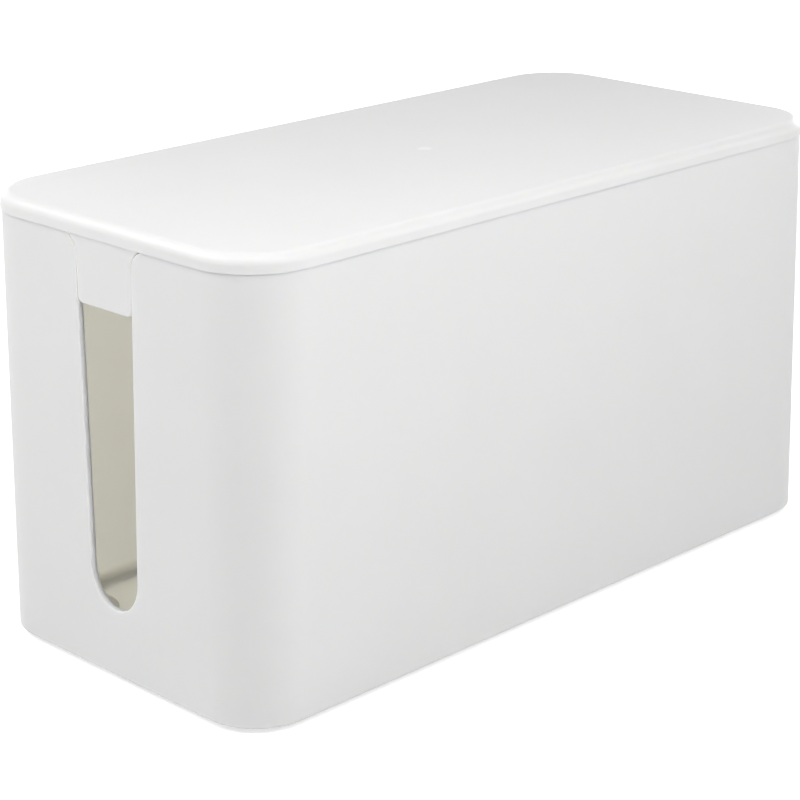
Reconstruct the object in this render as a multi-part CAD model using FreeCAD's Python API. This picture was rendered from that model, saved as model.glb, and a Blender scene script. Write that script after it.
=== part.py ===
"""Lidded cable box: a white moulded tub with a cable slot in each end, a lift-off lid and four stick-on feet.

Frame, in millimetres: X runs along the length, Y across the width, Z up. The origin is the centre of the
footprint, on the plane that the feet stand on. The left end is at -X and the front side at -Y.
"""

import FreeCAD, Part
import math
import os

os.makedirs("parts", exist_ok=True)
Vector = FreeCAD.Vector

# Whole box
LID_LENGTH = 235.0
LID_WIDTH = 115.0
BOX_HEIGHT = 120.0
CORNER_RADIUS = 20.0

# Tub
WALL = 1.9
FLOOR = 2.0
TUB_DRAFT = 3.5
TUB_BASE_ROUND = 1.0
TUB_INNER_ROUND = 3.0
OUTER_RIM_ROUND = 0.15
INNER_RIM_ROUND = 0.3

# Cable slots
SLOT_RIM_WIDTH = 23.5
SLOT_SIDE_TAPER = 0.025
SLOT_SILL_HEIGHT = 17.8
SLOT_CORNER_RADIUS = 5.5

# Lid
LID_EDGE_HEIGHT = 4.8
LID_TOP_ROUND = 2.8
LID_OVERHANG = 0.35
LID_PLATE = 2.0
LID_WALL = 2.0
LID_LOWER_ROUND = 0.1

# Lid tabs and the locating rib
TAB_GAP = 0.3
TAB_DROP = 17.9
TAB_CORNER_RADIUS = 1.8
TAB_EDGE_ROUND = 0.3
TAB_ROOT = 0.2
RIB_THICKNESS = 1.5
RIB_DROP = 4.0
RIB_CLEARANCE = 0.4
RIB_TAB_MARGIN = 3.0
GUSSET_THICKNESS = 1.4
GUSSET_SPACING = 12.0
GUSSET_DEPTH = 7.0
GUSSET_DROP = 15.0

# Moulding marks left by the gates
GATE_MARK_DIAMETER = 4.4
GATE_MARK_DEPTH = 0.15

# Feet and their adhesive discs
FOOT_DIAMETER = 12.0
FOOT_HEIGHT = 1.8
FOOT_EDGE_ROUND = 0.5
ADHESIVE_DIAMETER = 11.4
ADHESIVE_THICKNESS = 0.2
FOOT_RECESS_DIAMETER = 12.8
FOOT_RECESS_DEPTH = 0.8
FOOT_PAD_DIAMETER = 17.0
FOOT_PAD_ROUND = 0.4
FOOT_X = 95.0
FOOT_Y = 37.0

# Levels that follow from the dimensions above
BASE_Z = FOOT_HEIGHT + ADHESIVE_THICKNESS - FOOT_RECESS_DEPTH
TOP_Z = BASE_Z + BOX_HEIGHT
RIM_Z = TOP_Z - LID_EDGE_HEIGHT
FLOOR_Z = BASE_Z + FLOOR
PLATE_Z = TOP_Z - LID_PLATE
SILL_Z = BASE_Z + SLOT_SILL_HEIGHT
TAB_Z = RIM_Z - TAB_DROP
DRAFT_PER_MM = TUB_DRAFT / (RIM_Z - BASE_Z)
OVERCUT = 5.0


def rounded_outline(inset, z):
    """Closed wire: the lid's plan outline, moved inwards by inset, at height z."""
    half_x = LID_LENGTH / 2 - inset
    half_y = LID_WIDTH / 2 - inset
    radius = CORNER_RADIUS - inset
    shoulder = radius * (1 - math.sqrt(0.5))
    edges = []
    corners = [(1, 1), (-1, 1), (-1, -1), (1, -1)]
    ends = []
    for sign_x, sign_y in corners:
        on_end = Vector(sign_x * half_x, sign_y * (half_y - radius), z)
        middle = Vector(sign_x * (half_x - shoulder), sign_y * (half_y - shoulder), z)
        on_side = Vector(sign_x * (half_x - radius), sign_y * half_y, z)
        points = [on_end, middle, on_side] if sign_x == sign_y else [on_side, middle, on_end]
        edges.append(Part.Arc(*points).toShape())
        ends.append((points[0], points[2]))
    for index in range(len(corners)):
        leaving = ends[index][1]
        arriving = ends[(index + 1) % len(corners)][0]
        edges.append(Part.makeLine(leaving, arriving))
    return Part.Wire(Part.__sortEdges__(edges))


def upright_block(inset, z_low, z_high):
    """Solid with vertical sides on the outline at inset, between two heights."""
    return Part.Face(rounded_outline(inset, z_low)).extrude(Vector(0, 0, z_high - z_low))


def drafted_inset(inset_at_rim, z):
    """Inset of a drafted tub wall at height z, given its inset at the rim."""
    return inset_at_rim + (RIM_Z - z) * DRAFT_PER_MM


def drafted_block(inset_at_rim, z_low, z_high):
    """Solid whose sides lean in towards the floor by the tub's draft."""
    low = rounded_outline(drafted_inset(inset_at_rim, z_low), z_low)
    high = rounded_outline(drafted_inset(inset_at_rim, z_high), z_high)
    return Part.makeLoft([low, high], True, True)


def edges_where(shape, wanted):
    """The shape's edges for which wanted(bounding box) is true."""
    return [edge for edge in shape.Edges if wanted(edge.BoundBox)]


def level_at(z):
    """Test for an edge that lies in the horizontal plane at z."""
    return lambda box: abs(box.ZMin - z) < 0.01 and abs(box.ZMax - z) < 0.01


def inset_of(point):
    """How far a point lies inside the lid's plan outline."""
    over_x = max(abs(point.x) - (LID_LENGTH / 2 - CORNER_RADIUS), 0)
    over_y = max(abs(point.y) - (LID_WIDTH / 2 - CORNER_RADIUS), 0)
    return CORNER_RADIUS - math.hypot(over_x, over_y)


def edges_on_wall(shape, inset_at_rim, z_low, z_high):
    """The shape's edges that lie on a drafted wall surface, wholly between two heights."""
    found = []
    for edge in shape.Edges:
        low_enough = edge.BoundBox.ZMax < z_high + 0.01
        high_enough = edge.BoundBox.ZMin > z_low - 0.01
        points = edge.discretize(5)
        gaps = [abs(inset_of(point) - drafted_inset(inset_at_rim, point.z)) for point in points]
        if low_enough and high_enough and max(gaps) < 0.01:
            found.append(edge)
    return found


def disc(diameter, x, y, z_low, z_high):
    """Upright round disc."""
    return Part.makeCylinder(diameter / 2, z_high - z_low, Vector(x, y, z_low))


def foot_places():
    """Name and plan position of each foot."""
    return [
        ("front_left", -FOOT_X, -FOOT_Y),
        ("front_right", FOOT_X, -FOOT_Y),
        ("back_left", -FOOT_X, FOOT_Y),
        ("back_right", FOOT_X, FOOT_Y),
    ]


def gate_mark(z, depth):
    """Shallow round dimple at the middle of a face at z; a negative depth sinks it upwards into the face."""
    half_width = GATE_MARK_DIAMETER / 2
    radius = (half_width ** 2 + depth ** 2) / (2 * abs(depth))
    centre_z = z - depth + math.copysign(radius, depth)
    return Part.makeSphere(radius, Vector(0, 0, centre_z))


def slot_half_width(z):
    """Half the width of the slot, between its straight sides, at height z."""
    return SLOT_RIM_WIDTH / 2 - SLOT_SIDE_TAPER * (RIM_Z - z)


def rim_corner_centre():
    """Distance from the slot's middle, and height, of the centre of the round between slot side and rim."""
    lean = math.atan(SLOT_SIDE_TAPER)
    centre_z = RIM_Z - SLOT_CORNER_RADIUS
    touch_z = centre_z + SLOT_CORNER_RADIUS * math.sin(lean)
    return slot_half_width(touch_z) + SLOT_CORNER_RADIUS * math.cos(lean), centre_z


def mouth_side(side, radius, low_y, low_z, z_top):
    """Edges at x = 0 up one side of the slot's mouth: the sloping side, the round out to the rim, and a riser."""
    lean = math.atan(SLOT_SIDE_TAPER)
    centre_y, centre_z = rim_corner_centre()
    arc_points = []
    for angle in (math.pi - lean, math.pi * 3 / 4, math.pi / 2):
        arc_y = centre_y + radius * math.cos(angle)
        arc_z = centre_z + radius * math.sin(angle)
        arc_points.append(Vector(0, side * arc_y, arc_z))
    slope = Part.makeLine(Vector(0, side * low_y, low_z), arc_points[0])
    corner = Part.Arc(*arc_points).toShape()
    riser = Part.makeLine(arc_points[2], Vector(0, side * centre_y, z_top))
    return [slope, corner, riser]


def closed_mouth(radius, low_y, low_z, z_top, bottom):
    """Closed wire at x = 0 from a bottom edge, the two sides of the mouth and a straight top."""
    centre_y, _ = rim_corner_centre()
    top = Part.makeLine(Vector(0, -centre_y, z_top), Vector(0, centre_y, z_top))
    edges = [bottom, top]
    for side in (-1, 1):
        edges += mouth_side(side, radius, low_y, low_z, z_top)
    return Part.Wire(Part.__sortEdges__(edges))


def slot_outline():
    """Closed wire of the slot: a round bottom, tapered sides and rounded corners at the rim."""
    slope = math.sqrt(1 + SLOT_SIDE_TAPER ** 2)
    radius = slot_half_width(SILL_Z) / (slope - SLOT_SIDE_TAPER)
    touch_y = radius / slope
    touch_z = SILL_Z + radius - radius * SLOT_SIDE_TAPER / slope
    ends = [Vector(0, side * touch_y, touch_z) for side in (-1, 1)]
    bottom = Part.Arc(ends[0], Vector(0, 0, SILL_Z), ends[1]).toShape()
    return closed_mouth(SLOT_CORNER_RADIUS, touch_y, touch_z, RIM_Z + OVERCUT, bottom)


def tab_outline():
    """Closed wire of a lid tab: it follows the slot at an even gap and reaches up into the lid's plate."""
    half_width = slot_half_width(TAB_Z) - TAB_GAP
    bottom = Part.makeLine(Vector(0, -half_width, TAB_Z), Vector(0, half_width, TAB_Z))
    radius = SLOT_CORNER_RADIUS + TAB_GAP
    return closed_mouth(radius, half_width, TAB_Z, PLATE_Z + TAB_ROOT, bottom)


def through_end(wire, side):
    """Prism of a wire drawn at x = 0, reaching out past the end of the box on one side."""
    reach = LID_LENGTH / 2 + OVERCUT
    return Part.Face(wire).extrude(Vector(side * reach, 0, 0))


def tub_walls():
    """Floor and walls of the tub, before the slots are cut."""
    outer = drafted_block(LID_OVERHANG, BASE_Z, RIM_Z)
    outer = outer.makeFillet(TUB_BASE_ROUND, edges_where(outer, level_at(BASE_Z)))
    inner = drafted_block(LID_OVERHANG + WALL, FLOOR_Z, RIM_Z + OVERCUT)
    inner = inner.makeFillet(TUB_INNER_ROUND, edges_where(inner, level_at(FLOOR_Z)))
    return outer.cut(inner)


def tub():
    """Floor and walls with a slot in each end and a recess for each foot."""
    shape = tub_walls()
    for side in (-1, 1):
        shape = shape.cut(through_end(slot_outline(), side))
    outer_rim = edges_on_wall(shape, LID_OVERHANG, SILL_Z, RIM_Z)
    shape = shape.makeFillet(OUTER_RIM_ROUND, outer_rim)
    inner_rim = edges_on_wall(shape, LID_OVERHANG + WALL, SILL_Z, RIM_Z)
    shape = shape.makeFillet(INNER_RIM_ROUND, inner_rim)
    for _, x, y in foot_places():
        pad = disc(FOOT_PAD_DIAMETER, x, y, BASE_Z + 0.5 * FLOOR, FLOOR_Z + FOOT_RECESS_DEPTH)
        pad = pad.makeFillet(FOOT_PAD_ROUND, edges_where(pad, level_at(FLOOR_Z + FOOT_RECESS_DEPTH)))
        shape = shape.fuse(pad)
        shape = shape.cut(disc(FOOT_RECESS_DIAMETER, x, y, BASE_Z - OVERCUT, BASE_Z + FOOT_RECESS_DEPTH))
    return shape.cut(gate_mark(BASE_Z, -GATE_MARK_DEPTH))


def lid_cover():
    """Plate and edge of the lid: the edge seats on the rim and stands a little proud of the tub."""
    cover = upright_block(0, RIM_Z, TOP_Z)
    cover = cover.makeFillet(LID_TOP_ROUND, edges_where(cover, level_at(TOP_Z)))
    cover = cover.makeFillet(LID_LOWER_ROUND, edges_where(cover, level_at(RIM_Z)))
    return cover.cut(upright_block(LID_WALL, RIM_Z - OVERCUT, PLATE_Z))


def locating_rib():
    """Two long ribs that drop just inside the tub's walls, with a break at each tab."""
    inset = LID_OVERHANG + WALL + RIB_CLEARANCE
    z_low = RIM_Z - RIB_DROP
    z_high = PLATE_Z + 0.5 * LID_PLATE
    ring = upright_block(inset, z_low, z_high).cut(upright_block(inset + RIB_THICKNESS, z_low, z_high))
    half_width = rim_corner_centre()[0] + RIB_TAB_MARGIN
    gap_corner = Vector(-LID_LENGTH / 2, -half_width, z_low)
    return ring.cut(Part.makeBox(LID_LENGTH, 2 * half_width, z_high - z_low, gap_corner))


def gusset(side, y):
    """Triangular web that stiffens the back of a tab."""
    back_x = LID_LENGTH / 2 - LID_OVERHANG - 0.5 * WALL
    corners = [
        Vector(side * back_x, y - GUSSET_THICKNESS / 2, PLATE_Z + 0.5 * LID_PLATE),
        Vector(side * (back_x - GUSSET_DEPTH), y - GUSSET_THICKNESS / 2, PLATE_Z + 0.5 * LID_PLATE),
        Vector(side * back_x, y - GUSSET_THICKNESS / 2, PLATE_Z - GUSSET_DROP),
    ]
    outline = Part.makePolygon(corners + corners[:1])
    return Part.Face(outline).extrude(Vector(0, GUSSET_THICKNESS, 0))


def tab(side):
    """Tab that closes the top of one slot, flush with the tub's wall inside and out."""
    z_low = TAB_Z - OVERCUT
    outer = drafted_block(LID_OVERHANG, z_low, TOP_Z)
    inner = drafted_block(LID_OVERHANG + WALL, z_low, TOP_Z)
    shape = outer.cut(inner).common(through_end(tab_outline(), side))
    low_corners = edges_where(
        shape,
        lambda box: box.ZMax < TAB_Z + 0.01 and box.YLength < 0.01,
    )
    shape = shape.makeFillet(TAB_CORNER_RADIUS, low_corners)
    outline = edges_on_wall(shape, LID_OVERHANG, TAB_Z, RIM_Z + TAB_GAP)
    return shape.makeFillet(TAB_EDGE_ROUND, outline)


def lid():
    """Cover with the locating rib, two tabs and their gussets below."""
    shape = lid_cover().fuse(locating_rib())
    for side in (-1, 1):
        shape = shape.fuse(tab(side))
        for y in (-GUSSET_SPACING / 2, GUSSET_SPACING / 2):
            shape = shape.fuse(gusset(side, y))
    return shape.cut(gate_mark(TOP_Z, GATE_MARK_DEPTH)).removeSplitter()


def foot(x, y):
    """Rubber foot with a rounded lower edge."""
    shape = disc(FOOT_DIAMETER, x, y, 0, FOOT_HEIGHT)
    return shape.makeFillet(FOOT_EDGE_ROUND, edges_where(shape, level_at(0)))


def adhesive(x, y):
    """Thin adhesive disc between a foot and its recess."""
    return disc(ADHESIVE_DIAMETER, x, y, FOOT_HEIGHT, FOOT_HEIGHT + ADHESIVE_THICKNESS)


def write(name, shape):
    """Save one piece, after checking that it is a single valid solid."""
    solids = shape.Solids
    if len(solids) != 1 or not solids[0].isValid():
        raise ValueError(f"{name}: {len(solids)} solids")
    solids[0].exportStep(f"parts/{name}.step")


write("tub", tub())
write("lid", lid())
for place, foot_x, foot_y in foot_places():
    write(f"foot_{place}", foot(foot_x, foot_y))
    write(f"adhesive_{place}", adhesive(foot_x, foot_y))
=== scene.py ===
import math

import bmesh
import bpy
from mathutils import Matrix, Vector
from mathutils.geometry import delaunay_2d_cdt


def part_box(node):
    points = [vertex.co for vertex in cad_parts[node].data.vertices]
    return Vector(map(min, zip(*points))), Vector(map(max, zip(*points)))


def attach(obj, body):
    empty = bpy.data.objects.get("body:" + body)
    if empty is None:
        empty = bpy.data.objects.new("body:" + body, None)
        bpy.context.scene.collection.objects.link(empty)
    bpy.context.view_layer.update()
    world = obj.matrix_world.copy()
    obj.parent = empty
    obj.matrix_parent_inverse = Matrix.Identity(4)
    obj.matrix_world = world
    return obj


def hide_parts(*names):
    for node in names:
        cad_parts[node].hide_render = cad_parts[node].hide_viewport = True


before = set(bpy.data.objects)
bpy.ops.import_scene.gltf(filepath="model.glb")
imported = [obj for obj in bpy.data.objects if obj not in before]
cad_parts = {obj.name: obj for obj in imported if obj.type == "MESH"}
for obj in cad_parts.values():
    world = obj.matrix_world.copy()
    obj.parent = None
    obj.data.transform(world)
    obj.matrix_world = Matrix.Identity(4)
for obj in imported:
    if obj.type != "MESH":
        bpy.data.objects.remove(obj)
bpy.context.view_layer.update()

MM = 0.001

# Sizes and levels that the frame gives
TUB_LOW, TUB_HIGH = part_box("tub")
LID_LOW, LID_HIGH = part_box("lid")
HALF_LENGTH = LID_HIGH.x
HALF_WIDTH = LID_HIGH.y
BASE_Z = TUB_LOW.z
RIM_Z = TUB_HIGH.z
TOP_Z = LID_HIGH.z
TAB_Z = LID_LOW.z
OVERHANG = LID_HIGH.x - TUB_HIGH.x

# Walls and rounds
CORNER_RADIUS = 20.0 * MM
WALL = 1.9 * MM
FLOOR = 2.0 * MM
DRAFT = 3.5 * MM / (RIM_Z - BASE_Z)
BASE_ROUND = 1.0 * MM
INNER_ROUND = 3.0 * MM
OUTER_RIM_ROUND = 0.15 * MM
INNER_RIM_ROUND = 0.3 * MM
FLOOR_Z = BASE_Z + FLOOR
STRAIGHT_X = HALF_LENGTH - CORNER_RADIUS
STRAIGHT_Y = HALF_WIDTH - CORNER_RADIUS

# Cable slots
SLOT_HALF_WIDTH = 11.75 * MM
SLOT_TAPER = 0.025
SILL_Z = BASE_Z + 17.8 * MM
SLOT_CORNER = 5.5 * MM

# Lid
PLATE = 2.0 * MM
PLATE_Z = TOP_Z - PLATE
LID_TOP_ROUND = 2.8 * MM
LID_WALL = 2.0 * MM
LID_LOWER_ROUND = 0.1 * MM
TAB_GAP = 0.3 * MM
TAB_CORNER = 1.8 * MM
TAB_EDGE_ROUND = 0.3 * MM
TAB_ROOT = 0.2 * MM
RIB_INSET = OVERHANG + WALL + 0.4 * MM
RIB_THICKNESS = 1.5 * MM
RIB_DROP = 4.0 * MM
RIB_ROUND = 0.35 * MM
RIB_BREAK = 3.0 * MM
GUSSET_THICKNESS = 1.4 * MM
GUSSET_SPACING = 12.0 * MM
GUSSET_DEPTH = 7.0 * MM
GUSSET_DROP = 15.0 * MM
GUSSET_ROUND = 0.35 * MM
INNER_CORNER = 0.4 * MM
SUNK = 1.0 * MM

# Small round features
GATE_RADIUS = 2.2 * MM
GATE_DEPTH = 0.15 * MM
RECESS_RADIUS = 6.4 * MM
RECESS_DEPTH = 0.8 * MM
PAD_RADIUS = 8.5 * MM
PAD_ROUND = 0.4 * MM
FOOT_EDGE_ROUND = 0.5 * MM
FILM_EDGE_ROUND = 0.02 * MM
EJECTOR_RADIUS = 3.0 * MM
EJECTOR_DEPTH = 0.12 * MM
RECESS_EDGE_ROUND = 0.15 * MM
EJECTOR_EDGE_ROUND = 0.05 * MM
EJECTOR_X = 60.0 * MM
EJECTOR_Y = 30.0 * MM

# Fineness of the meshes
ROUND_SEGMENTS = 48
DIMPLE_RINGS = 8
PLAN_CORNER_STEPS = 16
PLAN_SIDE_STEPS = 24
PLAN_END_STEPS = 10
FILL_SPACING = 8.0 * MM
JOINED_WITHIN = 0.002 * MM


# ---------------------------------------------------------------- mesh building

class Skin:
    """Faces of one closed surface, given as points. Points that coincide are joined when the mesh is made."""

    def __init__(self):
        self.faces = []

    def face(self, points):
        self.faces.append([Vector(point) for point in points])

    def grid(self, rows, closed=False):
        """Four-sided faces between neighbouring rows of points; closed joins each row's ends."""
        for row, following in zip(rows, rows[1:]):
            count = len(row)
            for index in range(count if closed else count - 1):
                after = (index + 1) % count
                corners = [row[index], row[after], following[after], following[index]]
                kept = [p for n, p in enumerate(corners) if (p - corners[n - 1]).length > 1e-7]
                if len(kept) > 2:
                    self.face(kept)

    def add_half_turn(self):
        """A second copy of every face, turned half way round the upright axis."""
        turn = Matrix.Rotation(math.pi, 3, "Z")
        self.faces += [[turn @ point for point in face] for face in self.faces]

    def mesh_object(self, name):
        """The faces as one closed mesh object, with its normals outwards."""
        mesh = bpy.data.meshes.new(name)
        points = [point for face in self.faces for point in face]
        corners = []
        for face in self.faces:
            start = corners[-1][-1] + 1 if corners else 0
            corners.append(list(range(start, start + len(face))))
        mesh.from_pydata(points, [], corners)
        work = bmesh.new()
        work.from_mesh(mesh)
        bmesh.ops.remove_doubles(work, verts=work.verts, dist=JOINED_WITHIN)
        bmesh.ops.recalc_face_normals(work, faces=work.faces)
        if not all(edge.is_manifold for edge in work.edges):
            open_edges = [e for e in work.edges if not e.is_manifold]
            where = [tuple(round(c * 1000, 3) for c in e.verts[0].co) for e in open_edges[:4]]
            raise ValueError(f"{name} isn't closed: {len(open_edges)} edges, such as {where}")
        work.to_mesh(mesh)
        work.free()
        piece = bpy.data.objects.new(name, mesh)
        bpy.context.scene.collection.objects.link(piece)
        return piece


def spread(start, end, count):
    """count + 1 numbers, evenly from start to end."""
    return [start + (end - start) * index / count for index in range(count + 1)]


def round_profile(centre, radius, start, end, count):
    """Points (across, up) on an arc, with start and end in degrees."""
    return [
        (centre[0] + radius * math.cos(math.radians(a)), centre[1] + radius * math.sin(math.radians(a)))
        for a in spread(start, end, count)
    ]


def outline_point(station, inset, z):
    """A point of the plan outline at a station, moved inwards by inset."""
    base, normal = station
    reach = CORNER_RADIUS - inset
    return Vector((base[0] + normal[0] * reach, base[1] + normal[1] * reach, z))


def corner_stations(sign_x, sign_y, start, end, count):
    """Stations round one corner of the plan, with start and end in degrees."""
    base = (sign_x * STRAIGHT_X, sign_y * STRAIGHT_Y)
    return [(base, direction) for direction in round_profile((0, 0), 1, start, end, count)]


def front_stations():
    """Stations from the left end's straight, round both front corners, to the right end's straight."""
    left = corner_stations(-1, -1, 180, 270, PLAN_CORNER_STEPS)
    straight = [((x, -STRAIGHT_Y), (0, -1)) for x in spread(-STRAIGHT_X, STRAIGHT_X, PLAN_SIDE_STEPS)]
    right = corner_stations(1, -1, 270, 360, PLAN_CORNER_STEPS)
    return left[:-1] + straight + right[1:]


def half_turned(stations):
    """The same stations on the other half of the box."""
    return [((-base[0], -base[1]), (-normal[0], -normal[1])) for base, normal in stations]


def wall_inset(z):
    """Inset of the tub's outer wall, which leans in towards the floor."""
    return OVERHANG + (RIM_Z - z) * DRAFT


def wall_point(station, z, depth):
    """A point at a depth into the tub's wall."""
    return outline_point(station, wall_inset(z) + depth, z)


def end_wall_point(y, z, depth):
    """A point in the right end's wall."""
    return wall_point(((STRAIGHT_X, y), (1, 0)), z, depth)


# ---------------------------------------------------------------- flat faces with round features

def fill_flat(skin, boundary, features, z):
    """Fill a convex flat boundary at height z, leaving out the round features, then add each feature.

    A feature is (centre x, centre y, profile), and its profile runs inwards as (radius, height) pairs.
    """
    points = [(p.x, p.y) for p in boundary]
    edges = [(i, (i + 1) % len(points)) for i in range(len(points))]
    for centre_x, centre_y, profile in features:
        rings = [ring_points(centre_x, centre_y, radius, height) for radius, height in profile]
        skin.grid(rings, closed=True)
        start = len(points)
        points += [(p.x, p.y) for p in rings[0]]
        edges += [(start + i, start + (i + 1) % ROUND_SEGMENTS) for i in range(ROUND_SEGMENTS)]
    points += inner_points(boundary, features)
    vertices, _, triangles, _, _, _ = delaunay_2d_cdt([Vector(p) for p in points], edges, [], 0, 1e-7)
    for triangle in triangles:
        corners = [vertices[i] for i in triangle]
        middle = sum(corners, Vector((0, 0))) / len(corners)
        holes = [(middle - Vector((x, y))).length < profile[0][0] for x, y, profile in features]
        if not any(holes):
            skin.face([(p.x, p.y, z) for p in corners])


def ring_points(centre_x, centre_y, radius, z):
    """Points round a circle, or copies of its centre when the radius is nought."""
    return [
        Vector((centre_x + radius * math.cos(a), centre_y + radius * math.sin(a), z))
        for a in spread(0, 2 * math.pi, ROUND_SEGMENTS)[:-1]
    ]


def inner_points(boundary, features):
    """A square grid of points well inside a rounded boundary and well clear of its round features."""
    reach_x = max(p.x for p in boundary)
    reach_y = max(p.y for p in boundary)
    radius = reach_x - STRAIGHT_X
    margin = 0.4 * FILL_SPACING
    columns = round(2 * reach_x / FILL_SPACING)
    rows = round(2 * reach_y / FILL_SPACING)
    kept = []
    for x in spread(-reach_x, reach_x, columns)[1:-1]:
        for y in spread(-reach_y, reach_y, rows)[1:-1]:
            over = math.hypot(max(abs(x) - STRAIGHT_X, 0), max(abs(y) - STRAIGHT_Y, 0))
            clear = all(math.hypot(x - cx, y - cy) > profile[0][0] + margin for cx, cy, profile in features)
            if over < radius - margin and clear:
                kept.append((x, y))
    return kept


def dimple(radius, depth, z):
    """Profile of a shallow spherical dimple in a face at z; a negative depth is sunk upwards."""
    profile = []
    for share in spread(1, 0, DIMPLE_RINGS):
        profile.append((radius * share, z - depth * (1 - share ** 2)))
    return profile


def disc_step(radius, rise, edge_round, z):
    """Profile of a flat disc raised by rise, or sunk by a negative rise, with a rounded edge."""
    sign = math.copysign(1, rise)
    profile = [(radius, z)]
    for across, up in round_profile((radius - edge_round, 0), edge_round, 0, 90, 4):
        profile.append((across, z + rise - sign * (edge_round - up)))
    return profile + [(0.5 * radius, z + rise), (0, z + rise)]


# ---------------------------------------------------------------- cable slot outline

RIM_STEPS = 10
SIDE_STEPS = 12
ARC_STEPS = 12
LEVEL_STEPS = RIM_STEPS + SIDE_STEPS
CORNER_STEPS = LEVEL_STEPS + 5

def slot_lean():
    return math.atan(SLOT_TAPER)


def slot_side(z):
    """Distance of the slot's straight side from its middle, at height z."""
    return SLOT_HALF_WIDTH - SLOT_TAPER * (RIM_Z - z)


def slot_corner_centre():
    """Centre (y, z) of the round between the slot's side and the rim, on the +Y side."""
    lean = slot_lean()
    centre_z = RIM_Z - SLOT_CORNER
    touch_z = centre_z + SLOT_CORNER * math.sin(lean)
    return slot_side(touch_z) + SLOT_CORNER * math.cos(lean), centre_z


def slot_bottom_circle():
    """Centre height and radius of the slot's round bottom."""
    slope = math.sqrt(1 + SLOT_TAPER ** 2)
    radius = slot_side(SILL_Z) / (slope - SLOT_TAPER)
    return SILL_Z + radius, radius


def slot_half_path():
    """Half of the slot's outline, from the rim on its -Y side to the middle of its round bottom.

    Each entry is (y, z, into y, into z): a point and the direction into the plastic.
    """
    lean = math.degrees(slot_lean())
    corner_y, corner_z = slot_corner_centre()
    bottom_z, bottom_radius = slot_bottom_circle()
    path = []
    for y, z in round_profile((0, 0), 1, 90, lean, RIM_STEPS):
        path.append((-corner_y + SLOT_CORNER * y, corner_z + SLOT_CORNER * z, -y, -z))
    into = (-math.cos(slot_lean()), -math.sin(slot_lean()))
    top = path[-1]
    low = (bottom_radius * into[0], bottom_z + bottom_radius * into[1])
    for share in spread(0, 1, SIDE_STEPS)[1:-1]:
        path.append((top[0] + (low[0] - top[0]) * share, top[1] + (low[1] - top[1]) * share, *into))
    for angle in spread(180 + lean, 270, ARC_STEPS):
        y, z = round_profile((0, 0), 1, angle, angle, 1)[0]
        path.append((bottom_radius * y, bottom_z + bottom_radius * z, y, z))
    return path


def whole_path(half):
    """A slot path from one side of the rim to the other, from its half."""
    return half + [(-y, z, -into_y, into_z) for y, z, into_y, into_z in reversed(half[:-1])]


# ---------------------------------------------------------------- tub

SHEET_SHARES = [0, 0.02, 0.08, 0.2, 0.36, 0.54, 0.74, 1]


def end_loops(edge_offset, z_bottom):
    """Loops of (y, z) across the right end's wall, from the slot's edge out to its straight's border."""
    half = slot_half_path()
    bottom_z, _ = slot_bottom_circle()
    first = [(y + edge_offset * into_y, z + edge_offset * into_z) for y, z, into_y, into_z in half]
    levels = [z for _, z in first[:LEVEL_STEPS]] + spread(bottom_z, z_bottom, CORNER_STEPS - LEVEL_STEPS)
    across = spread(-STRAIGHT_Y, 0, len(half) - 1 - CORNER_STEPS)
    last = [(-STRAIGHT_Y, z) for z in levels] + [(y, z_bottom) for y in across[1:]]
    loops = []
    for share in SHEET_SHARES:
        loop = [(a[0] + (b[0] - a[0]) * share, a[1] + (b[1] - a[1]) * share) for a, b in zip(first, last)]
        loops.append(loop + [(-y, z) for y, z in reversed(loop[:-1])])
    return loops


def add_wall_sheet(skin, depth, edge_offset, z_bottom):
    """One face of the wall on half of the tub. Returns its lowest row of stations."""
    loops = end_loops(edge_offset, z_bottom)
    skin.grid([[end_wall_point(y, z, depth) for y, z in loop] for loop in loops])
    heights = [z for _, z in loops[-1][:CORNER_STEPS + 1]]
    stations = front_stations()
    skin.grid([[wall_point(station, z, depth) for station in stations] for z in heights])
    end_row = [((STRAIGHT_X, y), (1, 0)) for y, _ in loops[-1][CORNER_STEPS:-CORNER_STEPS]]
    return stations + end_row[1:]


def add_rim(skin):
    """The rounded edge that runs along the rim and down round the slot, on half of the tub."""
    outer = round_profile((OUTER_RIM_ROUND, OUTER_RIM_ROUND), OUTER_RIM_ROUND, 180, 270, 6)
    inner = round_profile((WALL - INNER_RIM_ROUND, INNER_RIM_ROUND), INNER_RIM_ROUND, -90, 0, 6)
    profile = outer + [(0.5 * WALL, 0)] + inner
    centre_y, _ = slot_corner_centre()
    shares = list(reversed(SHEET_SHARES[1:]))
    flat = [-centre_y + (centre_y - STRAIGHT_Y) * share for share in shares]
    along_rim = [(station, RIM_Z, 0, -1) for station in front_stations()]
    entries = along_rim + [(((STRAIGHT_X, y), (1, 0)), RIM_Z, 0, -1) for y in flat[1:]]
    for y, z, into_y, into_z in whole_path(slot_half_path()):
        entries.append((((STRAIGHT_X, y), (1, 0)), z, into_y, into_z))
    entries += [(((STRAIGHT_X, -y), (1, 0)), RIM_Z, 0, -1) for y in reversed(flat)]
    rows = []
    for station, z, into_y, into_z in entries:
        base, normal = station
        row = []
        for depth, below in profile:
            moved = ((base[0], base[1] + below * into_y), normal)
            row.append(wall_point(moved, z + below * into_z, depth))
        rows.append(row)
    skin.grid(rows)


def base_profile():
    """(inset, z) of the round between the outer wall and the underside."""
    lean = math.degrees(math.atan(DRAFT))
    touch_z = BASE_Z + BASE_ROUND * (1 - math.sin(math.atan(DRAFT)))
    centre_inset = wall_inset(touch_z) + BASE_ROUND * math.cos(math.atan(DRAFT))
    arc = round_profile((0, 0), BASE_ROUND, -lean, -90, 8)
    return touch_z, [(centre_inset - across, BASE_Z + BASE_ROUND + up) for across, up in arc]


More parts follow.
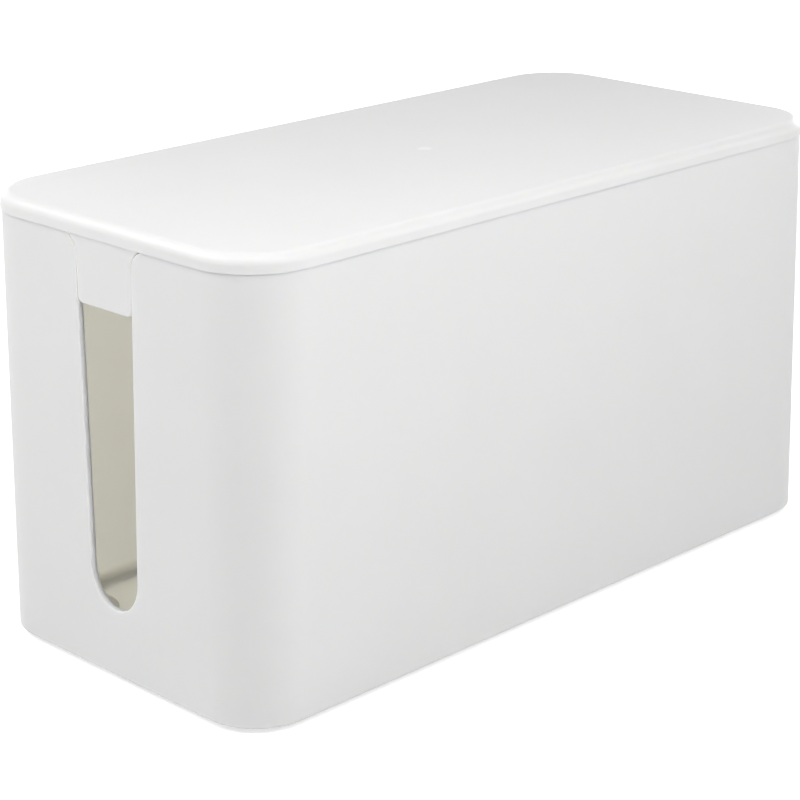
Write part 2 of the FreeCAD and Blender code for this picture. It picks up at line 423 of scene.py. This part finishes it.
def floor_profile():
    """(inset, z) of the round between the inner wall and the floor."""
    lean = math.degrees(math.atan(DRAFT))
    touch_z = FLOOR_Z + INNER_ROUND * (1 + math.sin(math.atan(DRAFT)))
    centre_inset = wall_inset(touch_z) + WALL + INNER_ROUND * math.cos(math.atan(DRAFT))
    arc = round_profile((0, 0), INNER_ROUND, lean, -90, 10)
    return touch_z, [(centre_inset - across, FLOOR_Z + INNER_ROUND + up) for across, up in arc]


def foot_centres():
    """Plan position of each foot."""
    centres = []
    for node in sorted(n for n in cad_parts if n.startswith("foot_")):
        low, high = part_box(node)
        centres.append(((low.x + high.x) / 2, (low.y + high.y) / 2))
    return centres


def build_tub():
    """The tub: walls with a slot in each end, floor, foot recesses and pads, and the marks of moulding."""
    skin = Skin()
    base_touch, base_arc = base_profile()
    floor_touch, floor_arc = floor_profile()
    outer_row = add_wall_sheet(skin, 0, OUTER_RIM_ROUND, base_touch)
    inner_row = add_wall_sheet(skin, WALL, INNER_RIM_ROUND, floor_touch)
    add_rim(skin)
    skin.grid([[outline_point(s, inset, z) for s in outer_row] for inset, z in base_arc])
    skin.grid([[outline_point(s, inset, z) for s in inner_row] for inset, z in floor_arc])
    skin.add_half_turn()
    outer_ring = outer_row + half_turned(outer_row)[1:-1]
    inner_ring = inner_row + half_turned(inner_row)[1:-1]
    recess = disc_step(RECESS_RADIUS, RECESS_DEPTH, RECESS_EDGE_ROUND, BASE_Z)
    below = [(x, y, recess) for x, y in foot_centres()]
    below.append((0, 0, dimple(GATE_RADIUS, -GATE_DEPTH, BASE_Z)))
    fill_flat(skin, [outline_point(s, base_arc[-1][0], BASE_Z) for s in outer_ring], below, BASE_Z)
    above = [(x, y, disc_step(PAD_RADIUS, RECESS_DEPTH, PAD_ROUND, FLOOR_Z)) for x, y in foot_centres()]
    above += ejector_marks(FLOOR_Z, -EJECTOR_DEPTH)
    fill_flat(skin, [outline_point(s, floor_arc[-1][0], FLOOR_Z) for s in inner_ring], above, FLOOR_Z)
    return skin.mesh_object("tub_shell")


def ejector_marks(z, rise):
    """Round marks left by the mould's ejector pins, in two rows."""
    places = [(x, y) for x in (-EJECTOR_X, 0, EJECTOR_X) for y in (-EJECTOR_Y, EJECTOR_Y)]
    return [(x, y, disc_step(EJECTOR_RADIUS, rise, EJECTOR_EDGE_ROUND, z)) for x, y in places]


# ---------------------------------------------------------------- lid

def whole_outline():
    """Closed ring of stations round the whole plan."""
    across = spread(-STRAIGHT_Y, STRAIGHT_Y, PLAN_END_STEPS)[1:-1]
    half = front_stations() + [((STRAIGHT_X, y), (1, 0)) for y in across]
    return half + half_turned(half)


def build_cover():
    """Plate and edge of the lid, with the gate mark on top and the marks of the ejector pins below."""
    section = round_profile((LID_TOP_ROUND, TOP_Z - LID_TOP_ROUND), LID_TOP_ROUND, 90, 180, 12)
    section += [(0, 0.5 * (TOP_Z + RIM_Z - LID_TOP_ROUND))]
    section += round_profile((LID_LOWER_ROUND, RIM_Z + LID_LOWER_ROUND), LID_LOWER_ROUND, 180, 270, 4)
    section += [(LID_WALL, RIM_Z)]
    section += round_profile((LID_WALL + INNER_CORNER, PLATE_Z - INNER_CORNER), INNER_CORNER, 180, 90, 4)
    stations = whole_outline()
    skin = Skin()
    skin.grid([[outline_point(s, inset, z) for s in stations] for inset, z in section], closed=True)
    top = [outline_point(s, section[0][0], TOP_Z) for s in stations]
    fill_flat(skin, top, [(0, 0, dimple(GATE_RADIUS, GATE_DEPTH, TOP_Z))], TOP_Z)
    below = [outline_point(s, section[-1][0], PLATE_Z) for s in stations]
    fill_flat(skin, below, ejector_marks(PLATE_Z, EJECTOR_DEPTH), PLATE_Z)
    return skin.mesh_object("lid_shell")


def build_rib():
    """The front locating rib, which runs round two corners and stops short of each tab."""
    half_gap = slot_corner_centre()[0] + RIB_BREAK
    low_z = RIM_Z - RIB_DROP
    far = RIB_INSET + RIB_THICKNESS
    section = [(RIB_INSET, PLATE_Z + SUNK)]
    section += round_profile((RIB_INSET + RIB_ROUND, low_z + RIB_ROUND), RIB_ROUND, 180, 270, 4)
    section += round_profile((far - RIB_ROUND, low_z + RIB_ROUND), RIB_ROUND, 270, 360, 4)
    section += [(far, PLATE_Z + SUNK)]
    ends = spread(-half_gap, -STRAIGHT_Y, 2)[:-1]
    stations = [((-STRAIGHT_X, y), (-1, 0)) for y in ends] + front_stations()
    stations += [((STRAIGHT_X, y), (1, 0)) for y in reversed(ends)]
    skin = Skin()
    rows = [[outline_point(s, inset, z) for inset, z in section] for s in stations]
    skin.grid(rows, closed=True)
    skin.face(rows[0])
    skin.face(rows[-1])
    return skin.mesh_object("rib")


def tab_half_path():
    """Half of a tab's outline, from the plate down its -Y side to the middle of its lower edge.

    Each entry is (y, z, into y, into z), like a slot's.
    """
    lean = slot_lean()
    corner_y, corner_z = slot_corner_centre()
    low_y = slot_side(TAB_Z) - TAB_GAP
    path = [(-corner_y, PLATE_Z + TAB_ROOT, 1, 0), (-corner_y, RIM_Z + TAB_GAP, 1, 1)]
    for y, z in round_profile((0, 0), 1, 90, math.degrees(lean), RIM_STEPS)[1:]:
        path.append((-corner_y + (SLOT_CORNER + TAB_GAP) * y, corner_z + (SLOT_CORNER + TAB_GAP) * z, y, z))
    start_y, start_z = path[-1][:2]
    centre = (-low_y + TAB_CORNER, TAB_Z + TAB_CORNER)
    arc = round_profile((0, 0), 1, 180 + math.degrees(lean), 270, 8)
    touch = (centre[0] + TAB_CORNER * arc[0][0], centre[1] + TAB_CORNER * arc[0][1])
    for share in spread(0, 1, 5)[1:-1]:
        y = start_y + (touch[0] - start_y) * share
        path.append((y, start_z + (touch[1] - start_z) * share, math.cos(lean), math.sin(lean)))
    for y, z in arc:
        path.append((centre[0] + TAB_CORNER * y, centre[1] + TAB_CORNER * z, -y, -z))
    return path


def build_tab():
    """The tab at the right end: a plate in line with the tub's wall, with a rounded edge all round."""
    half = tab_half_path()
    columns = spread(-1, 1, 16)
    skin = Skin()
    edge = TAB_EDGE_ROUND
    inner_edge = 0.5 * TAB_EDGE_ROUND
    sheets = []
    for depth, offset in ((0, edge), (WALL, inner_edge)):
        sides = [(y + offset * into_y, z + offset * into_z) for y, z, into_y, into_z in half]
        sides[0] = (sides[0][0], half[0][1])
        sheets.append([[end_wall_point(y * -t, z, depth) for t in columns] for y, z in sides])
        skin.grid(sheets[-1])
    low_edge = [(-half[-1][0] * t, TAB_Z, 0, 1) for t in columns[1:-1]]
    other_half = [(-y, z, -into_y, into_z) for y, z, into_y, into_z in reversed(half)]
    path = half + low_edge + other_half
    profile = round_profile((edge, edge), edge, 180, 270, 5)
    profile += round_profile((WALL - inner_edge, inner_edge), inner_edge, -90, 0, 3)
    rows = [[end_wall_point(y + b * iy, z + b * iz, depth) for depth, b in profile] for y, z, iy, iz in path]
    skin.grid(rows)
    skin.face(sheets[0][0] + rows[-1][1:-1] + list(reversed(sheets[1][0])) + list(reversed(rows[0][1:-1])))
    return skin.mesh_object("tab")


def build_gusset(y):
    """A triangular web behind the right end's tab, with a rounded sloping edge."""
    back_x = HALF_LENGTH - OVERHANG - 0.5 * WALL
    high_z = PLATE_Z + SUNK
    low_z = PLATE_Z - GUSSET_DROP
    slope = math.hypot(GUSSET_DEPTH, high_z - low_z)
    across = 0.5 * GUSSET_THICKNESS
    edge = GUSSET_ROUND
    profile = round_profile((-across + edge, edge), edge, 180, 270, 4)
    profile += round_profile((across - edge, edge), edge, 270, 360, 4)
    top = []
    low = []
    for offset, back in profile:
        top.append(Vector((back_x - GUSSET_DEPTH + back * slope / (high_z - low_z), y + offset, high_z)))
        low.append(Vector((back_x, y + offset, low_z + back * slope / GUSSET_DEPTH)))
    corners = [Vector((back_x, y - across, high_z)), Vector((back_x, y + across, high_z))]
    skin = Skin()
    skin.grid([top, low])
    skin.face([corners[0], top[0], low[0]])
    skin.face([corners[1], low[-1], top[-1]])
    skin.face(corners + list(reversed(top)))
    skin.face(corners + list(reversed(low)))
    return skin.mesh_object("gusset")


def half_turned_copy(piece):
    """A copy of a piece on the other half of the box."""
    copy = piece.copy()
    copy.data = piece.data.copy()
    copy.data.transform(Matrix.Rotation(math.pi, 4, "Z"))
    bpy.context.scene.collection.objects.link(copy)
    return copy


def united(piece, others):
    """Joins the other closed solids to a piece, as one closed surface."""
    group = bpy.data.collections.new("joined")
    bpy.context.scene.collection.children.link(group)
    for other in others:
        group.objects.link(other)
    union = piece.modifiers.new("union", "BOOLEAN")
    union.operation = "UNION"
    union.operand_type = "COLLECTION"
    union.solver = "EXACT"
    union.collection = group
    shape = piece.evaluated_get(bpy.context.evaluated_depsgraph_get())
    mesh = bpy.data.meshes.new_from_object(shape)
    piece.modifiers.clear()
    piece.data = mesh
    for other in others:
        bpy.data.objects.remove(other)
    bpy.data.collections.remove(group)
    return piece


def build_lid():
    """The lid: cover, two ribs, and a tab with two gussets at each end."""
    near = [build_rib(), build_tab()]
    near += [build_gusset(side * 0.5 * GUSSET_SPACING) for side in (-1, 1)]
    return united(build_cover(), near + [half_turned_copy(piece) for piece in near])


# ---------------------------------------------------------------- feet

def build_disc(name, node, edge_round):
    """A round disc in place of a CAD node, with a rounded lower edge."""
    low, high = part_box(node)
    radius = 0.5 * (high.y - low.y)
    profile = [(0, high.z), (0.5 * radius, high.z), (radius - 0.1 * edge_round, high.z)]
    profile += [(radius, high.z - 0.1 * edge_round), (radius, low.z + edge_round)]
    profile += [
        (radius - edge_round + across, low.z + edge_round + up)
        for across, up in round_profile((0, 0), edge_round, 0, -90, 6)[1:]
    ]
    profile += [(0.5 * radius, low.z), (0, low.z)]
    centre = ((low.x + high.x) / 2, (low.y + high.y) / 2)
    skin = Skin()
    skin.grid([ring_points(*centre, across, z) for across, z in profile], closed=True)
    return skin.mesh_object(name)


# ---------------------------------------------------------------- build the pieces

SHARP_ANGLE = math.radians(40)
INSIDE_DEPTH = 0.98 * WALL
EDGE_DEPTH = 0.5 * OUTER_RIM_ROUND


def wall_depth(point):
    """Level distance of a point of the surface from the outside of the wall or of the lid's edge."""
    over = math.hypot(max(abs(point.x) - STRAIGHT_X, 0), max(abs(point.y) - STRAIGHT_Y, 0))
    return CORNER_RADIUS - over - (wall_inset(point.z) if point.z < RIM_Z else 0)


def is_inside(point):
    """Whether a point of the surface is on the cavity's side of the plastic."""
    return wall_depth(point) > INSIDE_DEPTH and FLOOR_Z - 0.5 * FLOOR < point.z < PLATE_Z + 0.5 * PLATE


def is_edge(point):
    """Whether a point is on the narrow edge of a wall, at the rim, in a slot or round a tab."""
    return EDGE_DEPTH < wall_depth(point) <= INSIDE_DEPTH and FLOOR_Z < point.z < RIM_Z + LID_LOWER_ROUND


def mark_faces(mesh):
    """Gives each face the attributes inside and edge, each 1 on such a face and 0 elsewhere."""
    for name, test in (("inside", is_inside), ("edge", is_edge)):
        marks = mesh.attributes.new(name, "FLOAT", "FACE")
        for mark, polygon in zip(marks.data, mesh.polygons):
            mark.value = float(test(polygon.center))


def finish_piece(piece, body, node, look):
    """Puts a piece in the frame in place of its CAD node, and smooths its shading between sharp edges."""
    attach(piece, body)
    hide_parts(node)
    piece.data.materials.clear()
    piece.data.materials.append(look)
    for polygon in piece.data.polygons:
        polygon.use_smooth = True
    mark_faces(piece.data)
    piece.data.set_sharp_from_angle(angle=SHARP_ANGLE)
    normals = piece.modifiers.new("normals", "WEIGHTED_NORMAL")
    normals.keep_sharp = True
    normals.weight = 100


# ---------------------------------------------------------------- materials

class Nodes:
    """A material's node tree, with its Principled node ready."""

    def __init__(self, name):
        self.material = bpy.data.materials.new(name)
        self.material.use_nodes = True
        self.tree = self.material.node_tree
        self.shader = self.tree.nodes["Principled BSDF"]
        self.place = self.add("ShaderNodeTexCoord").outputs["Object"]

    def add(self, kind, **inputs):
        """A new node, with inputs set by name: underscores stand for spaces."""
        node = self.tree.nodes.new(kind)
        for key, value in inputs.items():
            node.inputs[key.replace("_", " ")].default_value = value
        return node

    def link(self, output, target):
        self.tree.links.new(output, target)

    def mark(self, name):
        """The value of a named attribute of the mesh."""
        attribute = self.tree.nodes.new("ShaderNodeAttribute")
        attribute.attribute_name = name
        return attribute.outputs["Fac"]

    def noise(self, size, detail=2.0, roughness=0.5):
        """Noise output, about 0 to 1, whose features are about size across."""
        noise = self.add("ShaderNodeTexNoise", Scale=1 / size, Detail=detail, Roughness=roughness)
        self.link(self.place, noise.inputs["Vector"])
        return noise.outputs["Fac"]

    def ramp(self, source, low, high, start=0.3, end=0.7):
        """Numbers from low to high as source goes from start to end."""
        ramp = self.add("ShaderNodeMapRange", From_Min=start, From_Max=end, To_Min=low, To_Max=high)
        self.link(source, ramp.inputs["Value"])
        return ramp.outputs["Result"]

    def mix(self, share, first, second):
        """Colour from first, a colour or an output, to the colour second as share goes from 0 to 1."""
        node = self.tree.nodes.new("ShaderNodeMix")
        node.data_type = "RGBA"
        if isinstance(first, tuple):
            node.inputs["A"].default_value = (*first, 1)
        else:
            self.link(first, node.inputs["A"])
        node.inputs["B"].default_value = (*second, 1)
        self.link(share, node.inputs["Factor"])
        return node.outputs["Result"]

    def blend(self, source, first, second):
        """Colours from first to second as source goes from 0.3 to 0.7."""
        return self.mix(self.ramp(source, 0, 1), first, second)

    def plus(self, first, second):
        """Sum of two numbers."""
        total = self.add("ShaderNodeMath")
        self.link(first, total.inputs[0])
        self.link(second, total.inputs[1])
        return total.outputs["Value"]

    def reach_from_middle(self):
        """Distance from the upright axis through the middle of the object."""
        flat = self.tree.nodes.new("ShaderNodeVectorMath")
        flat.operation = "MULTIPLY"
        flat.inputs[1].default_value = (1, 1, 0)
        self.link(self.place, flat.inputs[0])
        span = self.tree.nodes.new("ShaderNodeVectorMath")
        span.operation = "LENGTH"
        self.link(flat.outputs["Vector"], span.inputs[0])
        return span.outputs["Value"]

    def bump(self, source, distance, under=None):
        """Normal output of a bump whose full height is distance, on top of another bump."""
        bump = self.add("ShaderNodeBump", Distance=distance, Strength=1.0)
        self.link(source, bump.inputs["Height"])
        if under:
            self.link(under, bump.inputs["Normal"])
        return bump.outputs["Normal"]


def satin_plastic(name, tone, warm_tone, inner_shade_tone):
    """Moulded white plastic with a fine grain, faint flow marks and a painted highlight round the gate.

    Light goes deeper from the cavity's side and from narrow edges, so that the inside of the closed box is lit
    through its thin walls.
    """
    nodes = Nodes(name)
    inside = nodes.mark("inside")
    edge = nodes.mark("edge")
    grain = nodes.noise(GRAIN_SIZE, detail=3.0)
    flow = nodes.noise(FLOW_SIZE, detail=2.0)
    # Painted highlight: the colour is lighter within the gate mark's radius of the upright axis
    gate_highlight = nodes.ramp(nodes.reach_from_middle(), 1, 0, 0.8 * GATE_RADIUS, 1.1 * GATE_RADIUS)
    colour = nodes.mix(gate_highlight, nodes.blend(flow, tone, warm_tone), GATE_HIGHLIGHT_TONE)
    # Painted light: the narrow edges at the rim, in the slots and round the tabs take a much lighter tone
    # Painted shade: faces on the cavity's side take a darker, warmer tone than the outside of the same plastic
    colour = nodes.mix(edge, nodes.mix(inside, colour, inner_shade_tone), EDGE_LIGHT_TONE)
    nodes.link(colour, nodes.shader.inputs["Base Color"])
    nodes.link(nodes.ramp(grain, *SATIN_ROUGHNESS), nodes.shader.inputs["Roughness"])
    normal = nodes.bump(flow, FLOW_HEIGHT)
    nodes.link(nodes.bump(grain, GRAIN_HEIGHT, normal), nodes.shader.inputs["Normal"])
    nodes.shader.inputs["Subsurface Weight"].default_value = TRANSLUCENCY
    nodes.shader.inputs["Subsurface Radius"].default_value = LIGHT_DEPTHS
    inner_reach = nodes.ramp(inside, OUTER_REACH, INNER_REACH, 0, 1)
    reach = nodes.plus(inner_reach, nodes.ramp(edge, 0, EDGE_REACH - OUTER_REACH, 0, 1))
    nodes.link(reach, nodes.shader.inputs["Subsurface Scale"])
    return nodes.material


def rubber():
    """Dull grey rubber with a fine tooth."""
    nodes = Nodes("foot_rubber_look")
    tooth = nodes.noise(RUBBER_TOOTH_SIZE, detail=3.0)
    bloom = nodes.noise(RUBBER_BLOOM_SIZE)
    nodes.link(nodes.blend(bloom, *RUBBER_TONES), nodes.shader.inputs["Base Color"])
    nodes.link(nodes.ramp(bloom, *RUBBER_ROUGHNESS), nodes.shader.inputs["Roughness"])
    nodes.link(nodes.bump(tooth, RUBBER_TOOTH_HEIGHT), nodes.shader.inputs["Normal"])
    return nodes.material


def film():
    """Thin, slightly yellow adhesive film."""
    nodes = Nodes("adhesive_look")
    cloud = nodes.noise(FILM_CLOUD_SIZE, detail=3.0)
    nodes.link(nodes.blend(cloud, *FILM_TONES), nodes.shader.inputs["Base Color"])
    nodes.link(nodes.ramp(cloud, *FILM_ROUGHNESS), nodes.shader.inputs["Roughness"])
    nodes.link(nodes.bump(cloud, FILM_CLOUD_HEIGHT), nodes.shader.inputs["Normal"])
    return nodes.material


SATIN_ROUGHNESS = (0.40, 0.52)
GRAIN_SIZE = 0.35 * MM
GRAIN_HEIGHT = 0.012 * MM
FLOW_SIZE = 28 * MM
FLOW_HEIGHT = 0.06 * MM
# Lighter tone of the painted highlight round the gate
GATE_HIGHLIGHT_TONE = (0.78, 0.78, 0.78)
TRANSLUCENCY = 1.0
LIGHT_DEPTHS = (1.0, 0.97, 0.84)
OUTER_REACH = 1.5 * MM
INNER_REACH = 14.0 * MM
EDGE_REACH = 8.0 * MM
# Much lighter tone of the painted light on the narrow edges
EDGE_LIGHT_TONE = (0.96, 0.955, 0.935)
# Darker, warmer painted shade for the faces on the cavity's side
INNER_SHADE_TONE = (0.718, 0.702, 0.627)
TUB_LOOK = satin_plastic("tub_plastic_look", (0.716, 0.716, 0.718), (0.708, 0.708, 0.709), INNER_SHADE_TONE)
LID_LOOK = satin_plastic("lid_plastic_look", (0.722, 0.722, 0.724), (0.714, 0.714, 0.715), INNER_SHADE_TONE)
RUBBER_TOOTH_SIZE = 0.3 * MM
RUBBER_TOOTH_HEIGHT = 0.03 * MM
RUBBER_BLOOM_SIZE = 3.0 * MM
RUBBER_TONES = ((0.30, 0.30, 0.30), (0.36, 0.36, 0.35))
RUBBER_ROUGHNESS = (0.62, 0.78)
RUBBER_LOOK = rubber()
FILM_CLOUD_SIZE = 1.5 * MM
FILM_CLOUD_HEIGHT = 0.01 * MM
FILM_TONES = ((0.62, 0.60, 0.52), (0.70, 0.68, 0.61))
FILM_ROUGHNESS = (0.3, 0.5)
FILM_LOOK = film()

finish_piece(build_tub(), "body", "tub", TUB_LOOK)
finish_piece(build_lid(), "lid", "lid", LID_LOOK)
for place in ("front_left", "front_right", "back_left", "back_right"):
    rubber_disc = build_disc(f"rubber_{place}", f"foot_{place}", FOOT_EDGE_ROUND)
    finish_piece(rubber_disc, "body", f"foot_{place}", RUBBER_LOOK)
    film_disc = build_disc(f"film_{place}", f"adhesive_{place}", FILM_EDGE_ROUND)
    finish_piece(film_disc, "body", f"adhesive_{place}", FILM_LOOK)


# ---------------------------------------------------------------- stage

FLOOR_REACH = 6.0
FLOOR_MOTTLE_SIZE = 0.05
FLOOR_TONES = ((0.69, 0.69, 0.69), (0.71, 0.71, 0.71))
FLOOR_ROUGHNESS = 0.9
FLOOR_SHINE = 0.1
NEAR_REACH = 0.25
FAR_REACH = 1.3
NEAR_GLOW = 0.12
FAR_GLOW = 0.33
SEEN_GLOW = 0.40


def floor():
    """A plain pale floor that glows softly, and more in the camera's own view, so that it looks white."""
    nodes = Nodes("floor_look")
    mottle = nodes.noise(FLOOR_MOTTLE_SIZE, detail=4.0)
    nodes.link(nodes.blend(mottle, *FLOOR_TONES), nodes.shader.inputs["Base Color"])
    nodes.shader.inputs["Roughness"].default_value = FLOOR_ROUGHNESS
    nodes.shader.inputs["Specular IOR Level"].default_value = FLOOR_SHINE
    nodes.shader.inputs["Emission Color"].default_value = (1, 1, 1, 1)
    glow = nodes.ramp(nodes.reach_from_middle(), NEAR_GLOW, FAR_GLOW, NEAR_REACH, FAR_REACH)
    straight = nodes.tree.nodes.new("ShaderNodeLightPath").outputs["Is Camera Ray"]
    seen = nodes.ramp(straight, 0, SEEN_GLOW, 0, 1)
    nodes.link(nodes.plus(glow, seen), nodes.shader.inputs["Emission Strength"])
    mesh = bpy.data.meshes.new("floor")
    corners = [(x * FLOOR_REACH, y * FLOOR_REACH, 0) for x, y in ((-1, -1), (1, -1), (1, 1), (-1, 1))]
    mesh.from_pydata(corners, [], [(0, 1, 2, 3)])
    mesh.materials.append(nodes.material)
    plane = bpy.data.objects.new("floor", mesh)
    bpy.context.scene.collection.objects.link(plane)


def softbox(name, place, target, width, height, power):
    """A soft rectangular light at a place, facing a target."""
    lamp = bpy.data.lights.new(name, "AREA")
    lamp.shape = "RECTANGLE"
    lamp.size = width
    lamp.size_y = height
    lamp.energy = power
    light = bpy.data.objects.new(name, lamp)
    light.location = place
    light.rotation_euler = (Vector(target) - light.location).to_track_quat("-Z", "Y").to_euler()
    light.visible_camera = False
    bpy.context.scene.collection.objects.link(light)


def round_box(turn, rise):
    """A place on the ring of far lights: turn is its angle from the camera's side, and rise its elevation."""
    heading = math.radians(270 + turn) + CAMERA_AZIMUTH
    across = LIGHT_RING * math.cos(math.radians(rise))
    up = BOX_MIDDLE[2] + LIGHT_RING * math.sin(math.radians(rise))
    return (across * math.cos(heading), across * math.sin(heading), up)


def surroundings(strength):
    """Even white light from all round, in front of a plain white backdrop."""
    world = bpy.data.worlds.new("surroundings")
    world.use_nodes = True
    tree = world.node_tree
    background = tree.nodes["Background"]
    background.inputs["Color"].default_value = (1, 1, 1, 1)
    seen = tree.nodes.new("ShaderNodeLightPath").outputs["Is Camera Ray"]
    level = tree.nodes.new("ShaderNodeMapRange")
    level.inputs["To Min"].default_value = strength
    level.inputs["To Max"].default_value = 1.0
    tree.links.new(seen, level.inputs["Value"])
    tree.links.new(level.outputs["Result"], background.inputs["Strength"])
    bpy.context.scene.world = world


def rising_front_camera():
    """A camera held nearly level, whose picture plane stays nearly upright while it looks down at the box.

    Its axis points along the middle of the view, and a sheared mount keeps the picture plane upright, so that
    upright edges stay parallel in the picture.
    """
    turn = CAMERA_AZIMUTH
    lean = CAMERA_ELEVATION
    forward = Vector((-math.sin(turn) * math.cos(lean), math.cos(turn) * math.cos(lean), -math.sin(lean)))
    level = Vector((math.cos(turn), math.sin(turn), 0))
    upright = level.cross(forward)
    place = CAMERA_ACROSS * level + CAMERA_UP * upright - CAMERA_DISTANCE * forward
    right = math.cos(CAMERA_ROLL) * level + math.sin(CAMERA_ROLL) * upright
    up = math.cos(CAMERA_ROLL) * upright - math.sin(CAMERA_ROLL) * level
    back = -forward + SHIFT_ACROSS * right + SHIFT_UP * up
    stretch = back.length
    back.normalize()
    wanted = Matrix((right, up, back)).transposed().to_4x4()
    wanted.translation = place
    natural = back.to_track_quat("Z", "Y").to_matrix().to_4x4()
    natural.translation = place

    data = bpy.data.cameras.new("camera")
    data.sensor_width = SENSOR
    data.lens = LENS * stretch
    camera = bpy.data.objects.new("camera", data)
    mount = bpy.data.objects.new("camera_mount", None)
    for item in (camera, mount):
        bpy.context.scene.collection.objects.link(item)
    camera.parent = mount
    camera.matrix_parent_inverse = wanted @ natural.inverted()
    camera.matrix_basis = natural
    bpy.context.scene.camera = camera


CAMERA_AZIMUTH = math.radians(-45.48)
CAMERA_ELEVATION = math.radians(2.73)
CAMERA_ROLL = math.radians(-0.337)
CAMERA_ACROSS = 7.6 * MM
CAMERA_UP = 248.3 * MM
CAMERA_DISTANCE = 729.9 * MM
SHIFT_ACROSS = 0.0193
SHIFT_UP = 0.2765
SENSOR = 36.0
LENS = 112.35

BOX_MIDDLE = (0, 0, 0.5 * TOP_Z)
LIGHT_RING = 1.3
LOW = 9
HIGH = 38
LOW_SIZE = (0.60, 0.45)
HIGH_SIZE = (0.80, 0.50)
NEAR_SIZE = (0.30, 0.26)
# Far lights: name, turn from the camera's side, rise, size and power
FAR_LIGHTS = (
    ("high_left", -90, HIGH, HIGH_SIZE, 7.5),
    ("high_right", 90, HIGH, HIGH_SIZE, 0.9),
    ("high_back", 180, HIGH, HIGH_SIZE, 1.2),
    ("low_right", 90, LOW, LOW_SIZE, 2.3),
    ("low_back_left", -150, LOW, LOW_SIZE, 2.6),
    ("low_back_right", 150, LOW, LOW_SIZE, 6.5),
)
# Near lights: name, place, the point each one faces, and power
NEAR_LIGHTS = (
    ("near_front", (-0.10, -0.42, 0.40), (-0.06, -0.05, 0.06), 1.27),
    ("near_left", (-0.42, 0.05, 0.30), (-0.10, 0, 0.10), 0.36),
    ("near_top", (-0.25, -0.25, 0.62), (-0.08, -0.03, 0.10), 0.95),
)
PANEL_Z = 0.5 * MM
PANEL_SIZE = (1.8 * HALF_LENGTH, 1.6 * HALF_WIDTH)
PANEL_POWER = 0.030
SURROUNDING_LIGHT = 0.25

floor()
for name, turn, rise, size, power in FAR_LIGHTS:
    softbox(name, round_box(turn, rise), BOX_MIDDLE, *size, power)
for name, place, target, power in NEAR_LIGHTS:
    softbox(name, place, target, *NEAR_SIZE, power)
softbox("under_panel", (0, 0, PANEL_Z), BOX_MIDDLE, *PANEL_SIZE, PANEL_POWER)
surroundings(SURROUNDING_LIGHT)
rising_front_camera()
bpy.context.scene.view_settings.view_transform = "Standard"
bpy.context.scene.cycles.max_bounces = 12
bpy.context.scene.cycles.diffuse_bounces = 8
